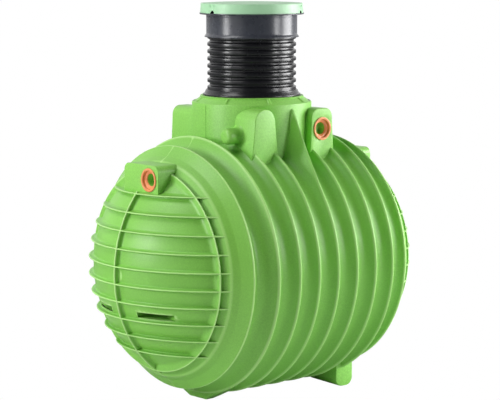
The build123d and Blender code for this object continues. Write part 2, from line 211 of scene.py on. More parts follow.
def join(parts):
    """Several meshes as one list of vertices and one of faces."""
    verts, faces = [], []
    for v, f in parts:
        offset = len(verts)
        verts += list(v)
        faces += [tuple(i + offset for i in face) for face in f]
    return verts, faces


def turned_about(verts, place):
    """Vertices of the same piece at the rear end, or on the left half: half a turn about the shaft."""
    return [(-x, -y, z) for x, y, z in verts] if place else verts


def settle(piece):
    """Turns a piece's modifiers into its mesh."""
    graph = bpy.context.evaluated_depsgraph_get()
    done = bpy.data.meshes.new_from_object(piece.evaluated_get(graph))
    piece.modifiers.clear()
    piece.data = done


def cut_away(piece, cutter_verts, cutter_faces):
    """Cuts a closed shape out of a piece for good."""
    data = bpy.data.meshes.new("cutter")
    data.from_pydata([tuple(map(float, v)) for v in cutter_verts], [], cutter_faces)
    cutter = bpy.data.objects.new("cutter", data)
    bpy.context.scene.collection.objects.link(cutter)
    outward(cutter)
    change = piece.modifiers.new("opening", "BOOLEAN")
    change.operation = "DIFFERENCE"
    change.solver = "EXACT"
    change.object = cutter
    settle(piece)
    bpy.data.objects.remove(cutter)


def bevelled(piece, width, segments=3, angle=35.0):
    """Rounds the sharp edges of a piece for good."""
    change = piece.modifiers.new("rounding", "BEVEL")
    change.width = width
    change.segments = segments
    change.limit_method = "ANGLE"
    change.angle_limit = radians(angle)
    change.harden_normals = False
    settle(piece)
    piece.data.shade_smooth()


# Materials
DRIFT_SCALE = 2.2  # slow drifts of shade, in a metre
SCUFF_SCALE = 14.0  # and scuffs
SPECK_FROM, SPECK_TO = 0.35, 0.65  # grain noise where its shade begins and is full
HIGHLIGHT_FROM, HIGHLIGHT_TO = 0.506, 0.525  # pointiness where the painted highlight begins and is full
SMOOTHER, ROUGHER = 0.05, 0.07  # how far scuffs change the roughness
GRAIN_STRENGTH = 0.5


def linear(hex_colour):
    """Linear colour of an sRGB hex value."""
    parts = [int(hex_colour[i:i + 2], 16) / 255 for i in (1, 3, 5)]
    return [c / 12.92 if c <= 0.04045 else ((c + 0.055) / 1.055) ** 2.4 for c in parts] + [1.0]


def add_node(tree, kind, links=(), **settings):
    """Adds a node, sets its sockets and properties by name, and links sockets into it."""
    node = tree.nodes.new(kind)
    for key, value in settings.items():
        name = key.replace("_", " ")
        match = [s for s in node.inputs if name.lower() in (s.name.lower(), s.identifier.lower())]
        if match:
            match[0].default_value = value
        else:
            setattr(node, key, value)
    for source, target in links:
        tree.links.new(source, node.inputs[target])
    return node


def spread(tree, value, low_in, high_in, low_out=0.0, high_out=1.0, **settings):
    """Adds a node that maps one range of a socket's values to another, and returns its result."""
    node = add_node(tree, "ShaderNodeMapRange", [(value, "Value")], **settings)
    bounds = {"From Min": low_in, "From Max": high_in, "To Min": low_out, "To Max": high_out}
    for name, bound in bounds.items():
        node.inputs[name].default_value = bound
    return node.outputs["Result"]


def moulded(name, colour, shade, pale, highlight_share, roughness, grain_mm, bump_mm, ior=1.5):
    """Moulded plastic: a plain colour with slow drifts and a fine speckle of shade, a paler painted
    highlight on sharp crests and edges, with faint scuffs and a fine mould grain."""
    material = bpy.data.materials.new(name)
    material.use_nodes = True
    tree = material.node_tree
    shader = tree.nodes["Principled BSDF"]
    place = add_node(tree, "ShaderNodeTexCoord").outputs["Object"]
    drift = add_node(tree, "ShaderNodeTexNoise", [(place, "Vector")], Scale=DRIFT_SCALE, Detail=3.0)
    grain = add_node(tree, "ShaderNodeTexNoise", [(place, "Vector")], Scale=1000.0 / grain_mm, Detail=2.0)
    scuff = add_node(tree, "ShaderNodeTexNoise", [(place, "Vector")], Scale=SCUFF_SCALE, Detail=6.0)
    speck = spread(tree, grain.outputs["Fac"], SPECK_FROM, SPECK_TO)
    share = add_node(tree, "ShaderNodeMath", [(drift.outputs["Fac"], 0), (speck, 1)], operation="MULTIPLY")
    mixed = add_node(tree, "ShaderNodeMix", [(share.outputs[0], "Factor")], data_type="RGBA")
    mixed.inputs[6].default_value = linear(colour)
    mixed.inputs[7].default_value = linear(shade)
    shape = add_node(tree, "ShaderNodeNewGeometry")
    # Painted highlight: the sharpest crests and edges, found by pointiness, are painted a paler colour
    edge = spread(tree, shape.outputs["Pointiness"], HIGHLIGHT_FROM, HIGHLIGHT_TO, 0.0, highlight_share)
    paler = add_node(tree, "ShaderNodeMix", [(edge, "Factor")], data_type="RGBA")
    tree.links.new(mixed.outputs[2], paler.inputs[6])
    paler.inputs[7].default_value = linear(pale)
    tree.links.new(paler.outputs[2], shader.inputs["Base Color"])
    bump = add_node(tree, "ShaderNodeBump", [(grain.outputs["Fac"], "Height")], Strength=GRAIN_STRENGTH,
                    Distance=bump_mm / 1000)
    tree.links.new(bump.outputs["Normal"], shader.inputs["Normal"])
    rough = spread(tree, scuff.outputs["Fac"], 0.0, 1.0, roughness - SMOOTHER, roughness + ROUGHER)
    tree.links.new(rough, shader.inputs["Roughness"])
    shader.inputs["IOR"].default_value = ior
    return material


FINISHES = {}


def finish(name):
    """The material of this name, made once."""
    if name not in FINISHES:
        c = bpy.context.scene.tank_colours
        # Each row: colour, shade, colour and share of the painted highlight on edges, roughness, grain and
        # its depth in mm
        kinds = {
            # Rotationally moulded polyethylene: satin, waxy, with a soft wide highlight
            "green polyethylene": (c.shell, c.shell_shade, c.shell_painted_highlight, 0.6, 0.42, 9.0, 0.5),
            # The same skin on blocks and feet, in a lighter green that is painted light on them; their
            # faces are too large to show the painted edge highlight
            "plain green polyethylene": (c.block, c.shell_shade, c.block, 0.0, 0.42, 9.0, 0.5),
            # Extruded polypropylene pipe: near black with a sharper sheen
            "black polypropylene": (c.riser, c.riser, c.riser, 0.0, 0.25, 3.0, 0.05),
            # Injection moulded collar: blue grey, satin
            "grey polypropylene": (c.collar, c.collar, c.collar, 0.0, 0.27, 3.0, 0.05),
            # Injection moulded lid: pale green, finely textured
            "pale green polypropylene": (c.lid, c.lid, c.lid, 0.0, 0.42, 9.0, 0.8),
            # Injection moulded eyelets: orange, satin
            "orange polypropylene": (c.eyelet, c.eyelet, c.eyelet, 0.0, 0.34, 3.0, 0.1),
        }
        FINISHES[name] = moulded(name, *kinds[name])
    return FINISHES[name]


def length(name, description, default):
    """A setting in metres."""
    return bpy.props.FloatProperty(name=name, description=description, default=default, unit="LENGTH")


def number(name, description, default):
    """A plain setting."""
    return bpy.props.FloatProperty(name=name, description=description, default=default)


def count_of(name, description, default):
    """A whole number of things."""
    return bpy.props.IntProperty(name=name, description=description, default=default)


def colour(name, description, default):
    """A colour as an sRGB hex value."""
    return bpy.props.StringProperty(name=name, description=description, default=default)


class NeckSizes(bpy.types.PropertyGroup):
    """Sizes of the neck's shoulder."""
    slope_r: length("Slope edge", "Inner edge of the slope", 0.373)
    webs: count_of("Webs", "Radial webs on the slope", 8)
    web_thick: length("Web thickness", "Across a web", 0.014)
    web_height: length("Web height", "Over the pockets", 0.008)
    bead: length("Seam bead", "Width of the moulding line", 0.005)
    nub_r: length("Nub radius", "Blanked pipe nub", 0.058)


class ShaftSizes(bpy.types.PropertyGroup):
    """Sizes of the riser and the lid."""
    riser_pitch: length("Riser pitch", "Crests apart", 0.0528)
    riser_plain: length("Riser foot", "From the shoulder to the lowest whole crest", 0.108)
    notches: count_of("Notches", "Finger notches in the lid's edge", 3)
    notch_r: length("Notch radius", "Of a finger notch", 0.022)


class TankColours(bpy.types.PropertyGroup):
    """Colours of the tank's plastics, as sRGB hex values."""
    shell: colour("Shell", "Green of the moulded shell", "#82c450")
    shell_shade: colour("Shell shade", "Its slow drift of shade", "#74b348")
    # Painted highlight: the pale colour painted on sharp crests and edges in place of their light
    shell_painted_highlight: colour("Shell edge", "Painted highlight on sharp edges", "#c4ee9c")
    # Painted light: a lighter copy of the shell's green that brightens the lugs, neck and feet
    block: colour("Blocks", "Green of the lugs, neck and feet", "#8cce5a")
    riser: colour("Riser", "Black of the riser", "#141518")
    collar: colour("Collar", "Blue grey of the collar", "#3a3d45")
    lid: colour("Lid", "Pale green of the lid", "#a3d2a7")
    eyelet: colour("Eyelet", "Orange of the eyelets", "#e8935f")


class ShellSizes(bpy.types.PropertyGroup):
    """Sizes of the hooped shell and its heads."""
    hoop_depth: length("Hoop depth", "Crest to valley", 0.066)
    valley_flat: number("Valley form", "2 is a round valley, more is flatter", 2.7)
    crest_round: length("Crest rounding", "Half the width of a hoop's round crest", 0.008)
    gusset_flare: number("Gusset flare", "How sharply the gusset stands out of the hoop", 1.7)
    wall: length("Wall", "Thickness of the moulded wall", 0.010)
    turns: count_of("Steps", "Steps round half the barrel", 144)
    head_centre: length("Head centre", "Centre of a head's sphere from mid tank", 0.364)
    head_skin: length("Head skin", "Radius of the domed skin", 0.873)
    rib_pitch: length("Rib pitch", "Level ribs apart", 0.1246)
    rib_count: count_of("Ribs", "Level ribs on a head", 10)
    pocket_depth: length("Pocket depth", "Deep end of a hand pocket in a head", 0.150)
    head_hoop_x: length("Head hoop", "Plane of the hoop rib on a head", 0.908)


# Hooped wall
NEXT_DROP = 0.014  # the hoop beside each end hoop is lower by this
CREST_DROP = 0.4  # how far a crest's edges lie below its top, as a share of half its width
CREST_FORM = 2.2  # 2 is a round crest, more is flatter
VALLEY_STEPS = 26
INNER_STEPS = 6  # the same on the inside, which hardly shows
GUSSET_HEEL = 0.020  # the gusset's upper corner, out from its inner face
GUSSET_BULGE = 0.109  # the gusset's edge over the hoop, half way up
GUSSET_BULGE_ANGLE = 33.3  # where that is, off the top
PLUG_SIDES = 96


def hoop_radius(index):
    """Crest radius of a hoop, counted from the middle one."""
    from_end = (HOOP_COUNT - 1) // 2 - abs(index)
    return {0: END_HOOP_R, 1: HOOP_R - NEXT_DROP}.get(from_end, HOOP_R)


def hoop_line(sizes, inset, steps):
    """Line of the hooped wall from front to rear: narrow round crests with scooped valleys between."""
    half = (HOOP_COUNT - 1) // 2
    c, drop = sizes.crest_round, CREST_DROP * sizes.crest_round
    line = []
    for index in range(-half, half + 1):
        x, r = index * HOOP_PITCH, hoop_radius(index) - inset
        cap = [(x + k / 4 * c, r - drop * abs(k / 4) ** CREST_FORM) for k in range(-4, 5)]
        if index == -half:
            cap = cap[4:]
        if index == half:
            cap = cap[:5]
        line += cap
        if index < half:
            after = hoop_radius(index + 1) - inset
            for k in range(1, steps):
                t = k / steps
                crest = (r + (after - r) * t) - drop
                sunk = (sizes.hoop_depth - drop) * (1 - abs(2 * t - 1) ** sizes.valley_flat)
                line.append((x + c + (HOOP_PITCH - 2 * c) * t, crest - sunk))
    return line


def gusset_rise(angle):
    """How far the middle hoop's crest stands over its usual radius, at an angle off the top."""
    lo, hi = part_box("right_hoop_gusset")
    top = float(hi[2]) - AXIS_Z
    reach = -float(hi[1]) + GUSSET_HEEL
    foot = asin(min(1.0, -float(lo[1]) / HOOP_R))
    bulge_r, bulge = HOOP_R + GUSSET_BULGE, radians(GUSSET_BULGE_ANGLE)
    edge = arc_through((HOOP_R * sin(foot), HOOP_R * cos(foot)),
                       (bulge_r * sin(bulge), bulge_r * cos(bulge)), (reach, top), 24)
    where = [atan2(y, z) for y, z in edge][::-1]
    rise = [hypot(y, z) - HOOP_R for y, z in edge][::-1]
    if angle < where[0]:
        return top / cos(angle) - HOOP_R
    return max(0.0, float(np.interp(angle, where, rise)))


class TANK_OT_shell(bpy.types.Operator):
    """Builds the hooped barrel wall as two halves that meet on the seam"""
    bl_idname = "tank.shell"
    bl_label = "Hooped shell"

    def execute(self, context):
        sizes = context.scene.tank_shell
        outer = hoop_line(sizes, 0.0, VALLEY_STEPS)
        inner = hoop_line(sizes, sizes.wall, INNER_STEPS)
        profile = outer + inner[::-1]
        rises = {}

        def lifted(j, x, r, a):
            away = abs(x) / (HOOP_PITCH / 2)
            if j >= len(outer) or away >= 1:
                return r
            key = round(min(a, 2 * pi - a), 6)
            if key not in rises:
                rises[key] = gusset_rise(key)
            return r + rises[key] * (1 - away) ** sizes.gusset_flare

        r = NECK_R - sizes.wall
        plug = spindle([(AXIS_Z + 0.1, r), (SHOULDER_TOP, r)], lambda z, x, y: (x, y, z), PLUG_SIDES)
        for side, start in zip(SIDES, (0, 180)):
            mesh = about_barrel(profile, start, sizes.turns, lifted)
            piece = add_piece(f"{side}_hooped_shell", *mesh, finish("green polyethylene"))
            cut_away(piece, *plug)
            piece.data.shade_smooth()
            piece.data.set_sharp_from_angle(angle=radians(60))
            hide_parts(f"{side}_hoop_gusset", *[f"{side}_{name}_wall" for name in STAVES])
            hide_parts(*[f"{end}_{side}_crown" for end in ENDS])
        return {"FINISHED"}


# Heads: the front one, in metres from mid tank and from the barrel's axis
HEAD_FOLD = (0.796, 0.803)  # where the end hoop's flank turns into the cone
HEAD_CORNER_X = 0.850  # the cone's outer corner, where the level ribs end
HEAD_ROOT = [(0.886, 0.708), (0.8945, 0.700)]  # where the cone meets the skin
HEAD_HOOP_FROM = 0.8965  # the hoop rib's section begins here, at the cone's root
DOME_FROM = 0.028  # the domed skin begins this far past the hoop rib
DOME_STEPS = 28
RIB_STEPS = 64
FIN_STEPS = 72
FIN_SHARE = 1.5  # seam fin's thickness to a level rib's
POCKET_NEAR, POCKET_FAR = 0.145, 0.432  # ends of a hand pocket, from the seam
POCKET_Z = -0.268  # its middle
POCKET_HALF = 0.020  # half its height
POCKET_LEVEL = 0.29  # the skin is taken at this height over its length
POCKET_UNDER = 0.004  # the wall around it stays this far inside the skin


def skin_radius(sizes, x):
    """Radius of the domed skin at a distance from mid tank."""
    return sqrt(max(0.0, sizes.head_skin ** 2 - (x - sizes.head_centre) ** 2))


def pocket_block(sizes, out, out_y, grow):
    """Closed wedge of a hand pocket in a head's skin: deep by the seam, run out at its far end. With grow
    it is the block of wall around the pocket, kept inside the skin."""
    near, far, z = POCKET_NEAR - grow, POCKET_FAR + grow, AXIS_Z + POCKET_Z
    half = POCKET_HALF + grow

    def skin(y):
        return sizes.head_centre + sqrt(sizes.head_skin ** 2 - y ** 2 - POCKET_LEVEL ** 2) - POCKET_UNDER

    deep = skin(POCKET_NEAR) + POCKET_UNDER - sizes.pocket_depth - grow
    ramp = near + 0.5 * (far - near)
    if grow:
        plan = [(skin(y), y) for y in np.linspace(near, far, 7)]
        plan += [(skin(far) - 0.002, far), (deep, ramp), (deep, near)]
    else:
        plan = [(1.4, near), (deep, near), (deep, ramp), (skin(far) + 0.012, far), (1.4, far)]
    return stacked([[(out * x, out_y * y, z + h) for x, y in plan] for h in (-half, half)])


def rib_section():
    """Section of a moulded rib: distance from its plane, and height from the skin (0) to its tip (1)."""
    side = [(0.0, 1.0), (0.0026, 0.985), (0.0042, 0.93), (0.0050, 0.85), (0.0062, 0.55), (0.0074, 0.32),
            (0.0094, 0.16), (0.0122, 0.075), (0.0160, 0.02), (0.0200, -0.04)]
    return [(-d, h) for d, h in side[:0:-1]] + side


def level_rib(sizes, z):
    """Strip of one level rib of the front head, from rim to rim."""
    tip_sphere = HEAD_TIP - sizes.head_centre
    tip = sqrt(tip_sphere ** 2 - z ** 2)
    reach = acos((HEAD_CORNER_X - sizes.head_centre) / tip)
    section = rib_section()
    verts = []
    for k in range(RIB_STEPS + 1):
        a = -reach + 2 * reach * k / RIB_STEPS
        for d, h in section:
            skin = sqrt(sizes.head_skin ** 2 - (z + d) ** 2)
            r = skin + h * (tip - skin)
            verts.append((-sizes.head_centre - r * cos(a), r * sin(a), AXIS_Z + z + d))
    return verts, grid_faces(RIB_STEPS + 1, len(section))


def seam_rib(sizes, top, bottom):
    """Strip of the upright fin along the seam of the front head, between two heights."""
    tip = HEAD_TIP - sizes.head_centre
    section = [(FIN_SHARE * d, h) for d, h in rib_section()]
    a0, a1 = asin(top / tip), asin(bottom / tip)
    verts = []
    for k in range(FIN_STEPS + 1):
        a = a0 + (a1 - a0) * k / FIN_STEPS
        for d, h in section:
            skin = sqrt(sizes.head_skin ** 2 - d ** 2)
            r = skin + h * (tip - skin)
            verts.append((-sizes.head_centre - r * cos(a), d, AXIS_Z + r * sin(a)))
    return verts, grid_faces(FIN_STEPS + 1, len(section))


class TANK_OT_heads(bpy.types.Operator):
    """Builds the domed heads with their level ribs, hoop rib and seam fin"""
    bl_idname = "tank.heads"
    bl_label = "Ribbed heads"

    def execute(self, context):
        sizes = context.scene.tank_shell
        tip = HEAD_TIP - sizes.head_centre
        corner = (HEAD_CORNER_X, sqrt(tip ** 2 - (HEAD_CORNER_X - sizes.head_centre) ** 2) + 0.002)
        c = sizes.crest_round
        rim = rounded([(HALF_LENGTH, END_HOOP_R), (HALF_LENGTH + c / 2, END_HOOP_R - 0.0006),
                       (HALF_LENGTH + c, END_HOOP_R - 0.004), (HALF_LENGTH + 0.020, END_HOOP_R - 0.020),
                       HEAD_FOLD, corner] + HEAD_ROOT, [0, 0, 0.006, 0.03, 0.05, 0.06, 0.02, 0])
        hoop = []
        for d, h in rib_section():
            x = sizes.head_hoop_x + d
            if x > HEAD_HOOP_FROM:
                skin = skin_radius(sizes, x)
                crown = sqrt(tip ** 2 - (sizes.head_hoop_x - sizes.head_centre) ** 2)
                hoop.append((x, skin + max(h, 0.0) * (crown - skin)))
        dome = []
        a0 = acos((sizes.head_hoop_x + DOME_FROM - sizes.head_centre) / sizes.head_skin)
        for k in range(DOME_STEPS + 1):
            a = a0 * (1 - k / DOME_STEPS)
            dome.append((sizes.head_centre + sizes.head_skin * cos(a), sizes.head_skin * sin(a)))
        inner = [(HALF_LENGTH, END_HOOP_R - sizes.wall - 0.02), (0.79, 0.77), (0.875, 0.68)]
        inner += [(x - sizes.wall, max(0.0, r - sizes.wall * sin(a0))) for x, r in dome[2::3]]
        profile = [(-x, r) for x, r in rim + hoop + dome + inner[::-1]]
        green = finish("green polyethylene")
        for flip, end in enumerate(ENDS):
            out = 1 if flip else -1
            for side, start in zip(SIDES, (0, 180)):
                verts, faces = about_barrel(profile, start, sizes.turns)
                name = SIDES[1 - SIDES.index(side)] if flip else side
                out_y = -1 if name == "right" else 1
                piece = add_piece(f"{end}_{name}_head_skin", turned_about(verts, flip), faces, green)
                wedge = pocket_block(sizes, out, out_y, 0.0)
                cut_away(piece, *wedge)
                piece.data.shade_smooth()
                piece.data.set_sharp_from_angle(angle=radians(50))
                block = pocket_block(sizes, out, out_y, sizes.wall)
                liner = add_piece(f"{end}_{name}_hand_pocket", *block, green)
                cut_away(liner, *wedge)
                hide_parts(f"{end}_{name}_head")
            half = (sizes.rib_count - 1) / 2
            heights = [(half - i) * sizes.rib_pitch for i in range(sizes.rib_count)]
            verts, faces = join([level_rib(sizes, z) for z in heights])
            ribs = add_piece(f"{end}_level_ribs", turned_about(verts, flip), faces, green)
            verts, faces = seam_rib(sizes, LUG_BOTTOM - AXIS_Z + 0.02, -corner[1])
            fin = add_piece(f"{end}_seam_rib", turned_about(verts, flip), faces, green)
            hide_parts(f"{end}_seam_fin")
        return {"FINISHED"}


# Lugs, buttresses and eyelets
LUG_CORNER = 0.05  # head lug's upper corners
EASED = 0.007  # rounding of the blocks' edges
BLOCK_LOW = 0.6  # the neck's blocks run down to here, over the barrel's axis
# Corner radius, half width and draft of a flank of the neck's blocks
NECK_BLOCKS = {"buttress": (0.0925, 0.0845, 0.11), "lug": (0.066, 0.098, 0.05)}
BUTTRESS_LENGTH = 0.19  # from its face to where its end begins to round off
BUTTRESS_CAP = 0.13  # length of that end
BUTTRESS_RIDGE = 0.10  # the end rounds off about a line this far below its top
EYELET_STEPS = 72
NUB_PAST = 0.022  # the nub's tip, past the solid's


def outline_block(outline, place, depth):
    """Block of an upright outline (across, height), pushed back by depth. place maps across, height and
    depth."""
    return stacked([[place(a, h, d) for a, h in outline] for d in (0.0, depth)])


def domed_block(outline, place, depth, cap, centre_h):
    """As outline_block, but its far end is rounded off over the last stretch."""
    ends = [(0.0, 0.0), (depth, 0.0)]
    ends += [(depth + cap * t, 1 - sqrt(1 - t * t)) for t in (0.2, 0.4, 0.6, 0.75, 0.87, 0.95)]
    return stacked([[place(a * (1 - sunk), h - max(h - centre_h, 0.0) * sunk, away) for a, h in outline]
                    for away, sunk in ends])


def eyelet_mesh(place):
    """Eyelet: a round flange over the lug's face and a tube going in. place maps across, up and out."""
    line = rounded([(0.0690, -0.024), (0.0690, 0.0), (0.0838, 0.0), (0.0838, 0.0088), (0.0672, 0.0088),
                    (0.0640, -0.012), (0.0560, -0.0125), (0.0460, -0.019), (0.0440, -0.024)],
                   [0, 0.001, 0.001, 0.0055, 0.0055, 0.002, 0.003, 0.003, 0])
    turns = [2 * pi * k / EYELET_STEPS for k in range(EYELET_STEPS)]
    return stacked([[place(r * cos(a), r * sin(a), out) for r, out in line] for a in turns], True)


def eyelet_hole(place):
    """Closed plug of the stepped hole that an eyelet sits in."""
    line = [(-0.073, 0.0436), (-0.0245, 0.0436), (-0.0240, 0.0692), (0.02, 0.0692)]
    return spindle(line, lambda out, a, b: place(a, b, out), 48)


def centre(node):
    """Middle of a solid's box."""
    return [(a + b) / 2 for a, b in zip(low(node), high(node))]


class TANK_OT_lugs(bpy.types.Operator):
    """Builds the lifting lugs, buttresses and their orange eyelets"""
    bl_idname = "tank.lugs"
    bl_label = "Lugs and eyelets"

    def execute(self, context):
        green, orange = finish("plain green polyethylene"), finish("orange polypropylene")
        w = LUG_HALF_WIDTH
        outline = rounded([(-w, LUG_BOTTOM), (-w, LUG_TOP), (w, LUG_TOP), (w, LUG_BOTTOM)], LUG_CORNER, 8.0)
        _, eye_y, eye_z = centre("front_lug_eyelet")
        for end, s in zip(ENDS, (-1, 1)):
            def on_face(a, b, out, s=s):
                return (s * (LUG_FACE_X + out), a - s * eye_y, eye_z + b)

            block = outline_block(outline, lambda a, h, d: (s * (LUG_FACE_X - d), -s * a, h), 0.29)
            lug = add_piece(f"{end}_head_lug", *block, green)
            cut_away(lug, *eyelet_hole(on_face))
            bevelled(lug, EASED)
            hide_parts(f"{end}_lifting_lug")
            eye = add_piece(f"{end}_eyelet", *eyelet_mesh(on_face), orange, sharp=60)
            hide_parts(f"{end}_lug_eyelet")
        ex, _, ez = centre("right_neck_eyelet")
        for side, s in zip(SIDES, (1, -1)):
            for kind, (r, half, draft) in NECK_BLOCKS.items():
                lo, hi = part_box(f"right_neck_{kind}")
                top, middle = float(hi[2]), float(lo[0] + hi[0]) / 2
                low_z = AXIS_Z + BLOCK_LOW
                foot = half + draft * (top - low_z)
                outline = rounded([(-foot, low_z), (-half, top), (half, top), (foot, low_z)], r, 8.0)

                def put(a, h, d, s=s, middle=middle):
                    return (s * (middle + a), s * (NECK_FACE_Y + d), h)

                def on_face(a, b, out, s=s):
                    return (s * (ex + a), s * (NECK_FACE_Y - out), ez + b)

                if kind == "buttress":
                    mesh = domed_block(outline, put, BUTTRESS_LENGTH, BUTTRESS_CAP, top - BUTTRESS_RIDGE)
                else:
                    mesh = outline_block(outline, put, 0.30)
                block = add_piece(f"{side}_{kind}_block", *mesh, green)
                if kind == "lug":
                    cut_away(block, *eyelet_hole(on_face))
                    eye = add_piece(f"{side}_eyelet", *eyelet_mesh(on_face), orange, sharp=60)
                    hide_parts(f"{side}_neck_eyelet")
                bevelled(block, EASED)
                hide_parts(f"{side}_neck_{kind}")
            r = context.scene.tank_neck.nub_r
            lo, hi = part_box("right_pipe_nub")
            tip = float(lo[0]) - NUB_PAST
            nub_y, nub_z = float(lo[1]) + r, float(hi[2]) - r
            line = rounded([(tip, 0.002), (tip, r), (tip + 0.110, r), (tip + 0.135, r + 0.025),
                            (tip + 0.22, r + 0.03)], [0, 0.054, 0.06, 0.03, 0], 8.0)
            mesh = spindle(line, lambda x, y, z: (s * x, s * (nub_y + y), nub_z + z))
            nub = add_piece(f"{side}_blank_nub", *mesh, green, sharp=60)
            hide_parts(f"{side}_pipe_nub")
        return {"FINISHED"}


# Neck
NECK_WALL = 0.010
NECK_LOW = 0.70  # its wall runs down to here, over the barrel's axis
NECK_EDGE = 0.012  # wall and moulding line end this far below the upper edge
SHOULDER_BORE = 0.3005
SLOPE_SHARES = (0.10, 0.14, 0.18, 0.5, 0.82, 0.86, 0.90)  # ring edges on the slope, pockets between
POCKET_IN, POCKET_DOWN = 0.59, 0.81  # shares of a slope pocket's depth that go inward and down
WEB_FLANK = 0.006
NECK_STEPS = 320


def wrapped(angle, turn):
    """Angle from the nearest multiple of a turn."""
    return abs((angle + turn / 2) % turn - turn / 2)


class TANK_OT_neck(bpy.types.Operator):
    """Builds the access neck with its sloping shoulder, radial webs and seam bead"""
    bl_idname = "tank.neck"
    bl_label = "Access neck"

    def execute(self, context):
        sizes = context.scene.tank_neck
        edge = high("right_neck_wall")[2] + NECK_WALL
        low_z, high_z, slope_r = AXIS_Z + NECK_LOW, edge - NECK_EDGE, sizes.slope_r
        slope = [(NECK_R + (slope_r - NECK_R) * t, edge + (SHOULDER_TOP - edge) * t) for t in SLOPE_SHARES]
        upper = rounded([(NECK_R, low_z), (NECK_R, edge), slope[0]], 0.016)
        first = len(upper) + 1
        outer = upper + slope[1:] + [(slope_r, SHOULDER_TOP), (slope_r - 0.004, SHOULDER_TOP)]
        inner = [(SHOULDER_BORE, SHOULDER_TOP), (SHOULDER_BORE, SHOULDER_TOP - NECK_WALL),
                 (slope_r - NECK_WALL, SHOULDER_TOP - NECK_WALL), (NECK_R - NECK_WALL, high_z),
                 (NECK_R - NECK_WALL, low_z)]
        profile = outer + inner
        sunk = {profile[first + k] for k in range(4)}

        def webbed(r, z, a):
            if (r, z) not in sunk:
                return r, z
            off_web = wrapped(a - pi / sizes.webs, 2 * pi / sizes.webs) * r
            depth = sizes.web_height * float(np.clip((off_web - sizes.web_thick / 2) / WEB_FLANK, 0, 1))
            return r - POCKET_IN * depth, z - POCKET_DOWN * depth

        for side, start in zip(SIDES, (180, 0)):
            parts = [about_shaft(profile, start, 180, NECK_STEPS, webbed)]
            for x in (-NECK_R, NECK_R):
                half, proud = sizes.bead / 2, (1 if x > 0 else -1) * sizes.bead / 2
                y0, y1 = (-half, 0.0) if side == "right" else (0.0, half)
                plan = [(x - proud, y0), (x - proud, y1), (x + proud, y1), (x + proud, y0)]
                parts.append(stacked([[(px, py, z) for px, py in plan] for z in (low_z, high_z)]))
            piece = add_piece(f"{side}_neck", *join(parts), finish("plain green polyethylene"), sharp=40)
            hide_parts(f"{side}_neck_wall")
            if side == "right":
                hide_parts("neck_shoulder")
        return {"FINISHED"}


# Shaft: the riser's corrugation in shares of its pitch, from a crest's middle; the rest in metres
VALLEY_ENDS = (0.62, 0.38)
CREST_ENDS = (0.22, 0.2)
FOOT_END = 0.8  # the plain foot ends this far below the lowest crest
RISER_DEPTH = 0.017  # crest to valley
SHAFT_R = 0.3
SLIDE_GAP = 0.003  # collar over riser
LIP_GAP = 0.0005  # and its lip
COLLAR_R, COLLAR_TOP_R = 0.3316, 0.3330
SPIGOT_R, SPIGOT_BORE = 0.352, 0.344  # upright ring on the lid's frame
RIM_THICK = 0.010


class TANK_OT_shaft(bpy.types.Operator):
    """Builds the corrugated riser, its seal, the telescopic collar and the lid's frame"""
    bl_idname = "tank.shaft"
    bl_label = "Riser and collar"

    def execute(self, context):
        black, grey = finish("black polypropylene"), finish("grey polypropylene")
        base, top = low("riser_pipe")[2], high("riser_pipe")[2]
        crest = high("riser_pipe")[0]
        valley = crest - RISER_DEPTH
        pitch = context.scene.tank_shaft.riser_pitch
        z = base + context.scene.tank_shaft.riser_plain
        line = [(SHAFT_R, base), (crest, base), (crest, z - FOOT_END * pitch)]
        while z < top:
            line += [(valley, z - VALLEY_ENDS[0] * pitch), (valley, z - VALLEY_ENDS[1] * pitch),
                     (crest, z - CREST_ENDS[0] * pitch), (crest, min(z + CREST_ENDS[1] * pitch, top))]
            z += pitch
        line.append((SHAFT_R, top))
        riser = add_piece("corrugated_riser", *about_shaft(rounded(line, 0.0055)), black, sharp=60)
        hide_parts("riser_pipe")

        seal_r, seal_top = high("riser_seal")[0], high("riser_seal")[2]
        line = [(crest, base), (seal_r, base), (seal_r, base + 0.011), (seal_r - 0.010, base + 0.014),
                (0.338, seal_top - 0.008), (0.335, seal_top), (crest, seal_top), (crest, base + 0.01)]
        seal = add_piece("riser_gasket", *about_shaft(rounded(line, 0.003)), black, sharp=60)
        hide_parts("riser_seal")

        lo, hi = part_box("telescopic_collar")
        z0, z1, lip = float(lo[2]), float(hi[2]), float(hi[0])
        bore, wiper = crest + SLIDE_GAP, crest + LIP_GAP
        line = [(wiper, z0), (lip, z0), (lip, z0 + 0.007), (0.3335, z0 + 0.020), (COLLAR_R, z0 + 0.030),
                (COLLAR_R, z1 - 0.020), (COLLAR_TOP_R, z1), (bore, z1), (bore, z0 + 0.014),
                (wiper, z0 + 0.008)]
        collar = add_piece("collar_tube", *about_shaft(rounded(line, 0.003)), grey, "collar", sharp=60)
        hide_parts("telescopic_collar")

        lo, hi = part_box("lid_frame")
        z0, z1, rim = float(lo[2]), float(hi[2]), float(hi[0])
        upper = z0 + RIM_THICK
        line = [(bore, z0), (rim - 0.004, z0), (rim, z0 + 0.004), (rim, upper), (SPIGOT_R, upper),
                (SPIGOT_R, z1), (SPIGOT_BORE, z1), (SPIGOT_BORE, upper), (bore, upper)]
        rest = add_piece("collar_rim", *about_shaft(rounded(line, 0.002)), grey, "collar", sharp=60)
        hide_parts("lid_frame")
        return {"FINISHED"}


# Lid
LID_WALL = 0.006
LID_CROWN = 0.010  # rise of its top over the shoulder
SLOT_HEIGHTS = (0.046, 0.060)  # of the shallow slots over the notches
SLOT_HALF = 0.030
SLOT_IN = 0.0080  # their floor, in from the skirt's widest


